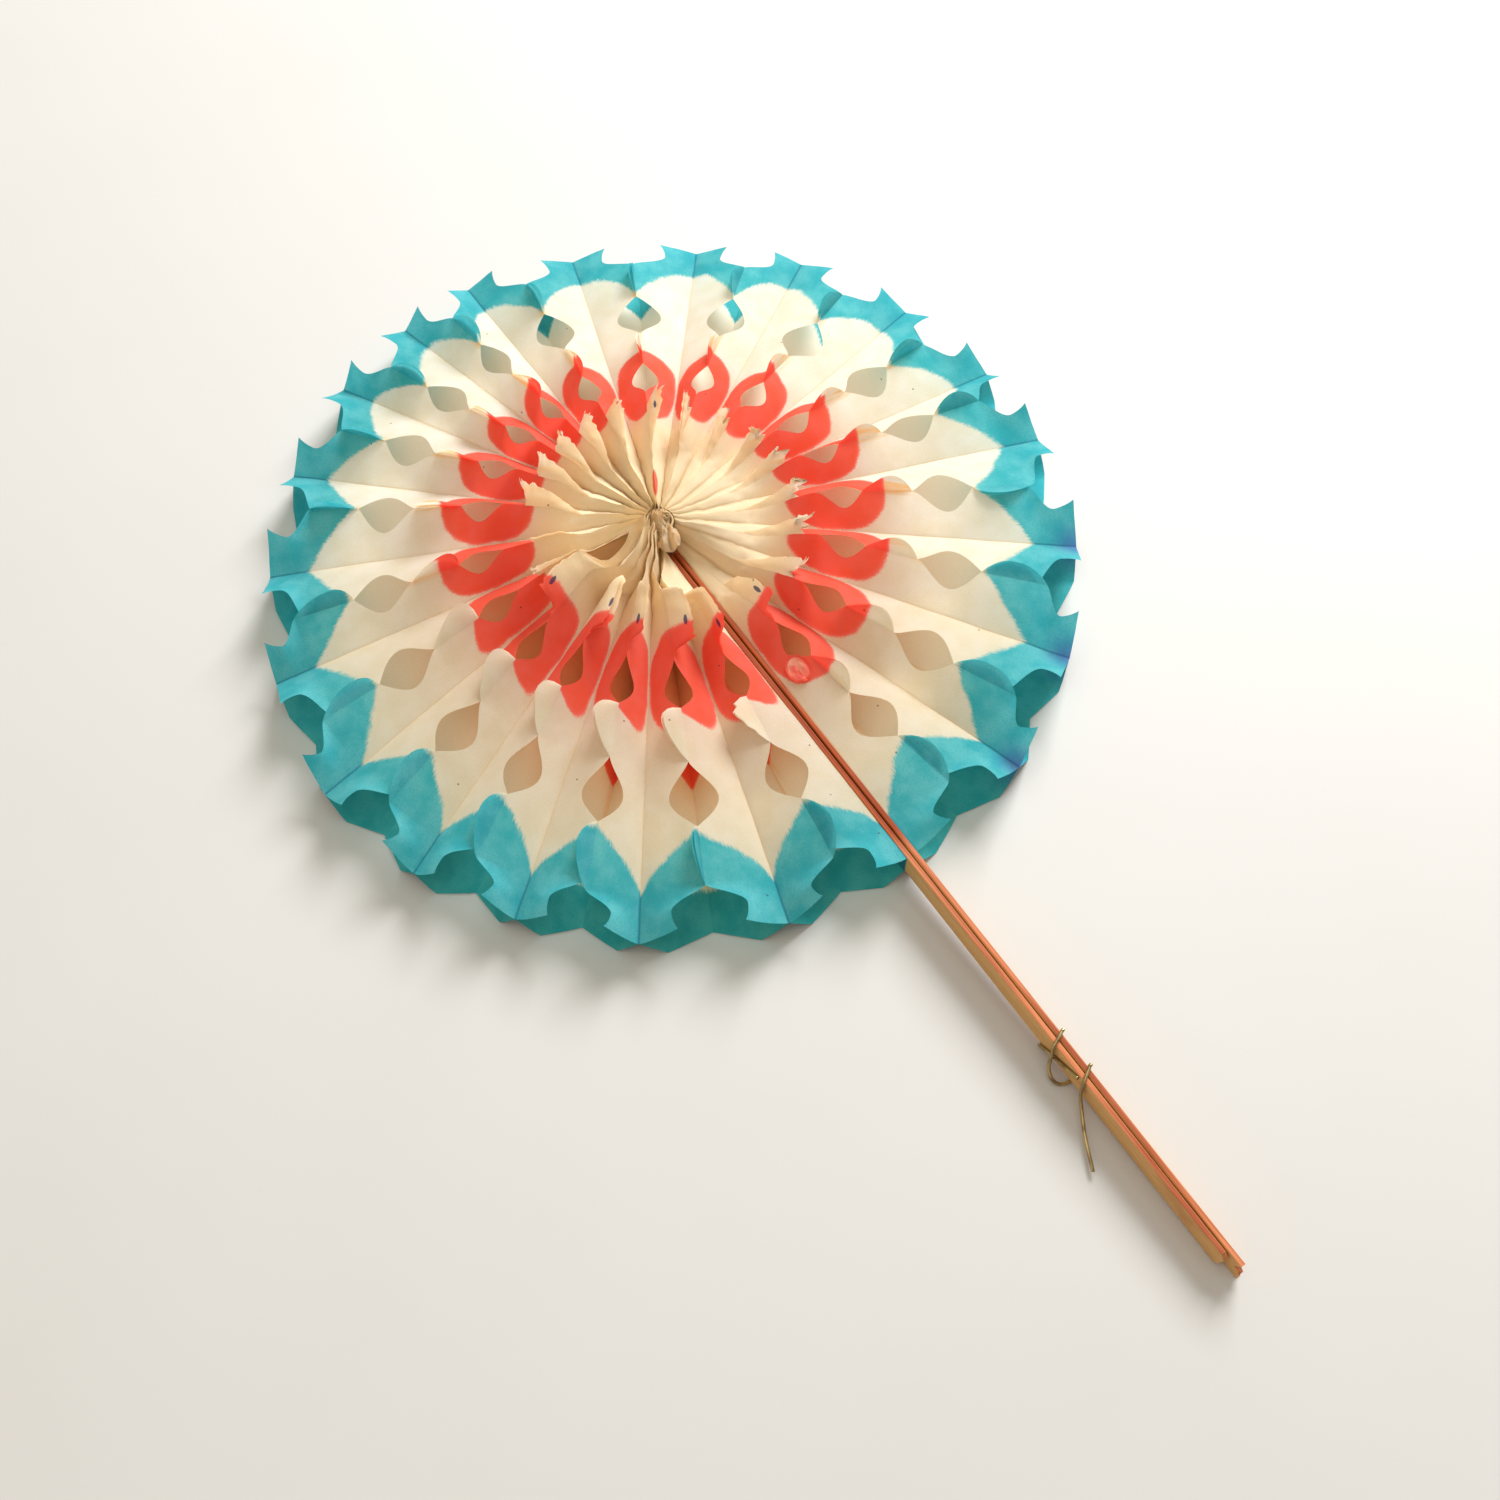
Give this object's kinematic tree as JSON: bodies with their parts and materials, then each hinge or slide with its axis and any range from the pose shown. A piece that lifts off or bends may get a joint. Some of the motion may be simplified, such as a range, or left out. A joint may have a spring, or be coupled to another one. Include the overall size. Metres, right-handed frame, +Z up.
{
  "type": "honeycomb paper fan",
  "caption": "Round honeycomb paper fan opened on two flat wooden sticks tied with wire; folded, cut and dyed paper cells form a shallow cone with a straight handle.",
  "frame": {"origin": "under the middle of the whole fan, on the surface that it lies on", "axes": "+X along the handle, from the paper towards the end of the sticks; +Z up from the surface"},
  "size_m": [0.3093, 0.1998, 0.029],
  "materials": {
    "paper": "matte dyed paper",
    "wood": "bare wood with stained edges",
    "brass_wire": "tarnished",
    "thread": "matte"
  },
  "bodies": {
    "root": {"honeycomb_paper": "paper", "front_stick": "wood", "rear_stick": "wood", "tie_wire": "brass_wire", "binding_thread": "thread"}
  },
  "joints": []
}
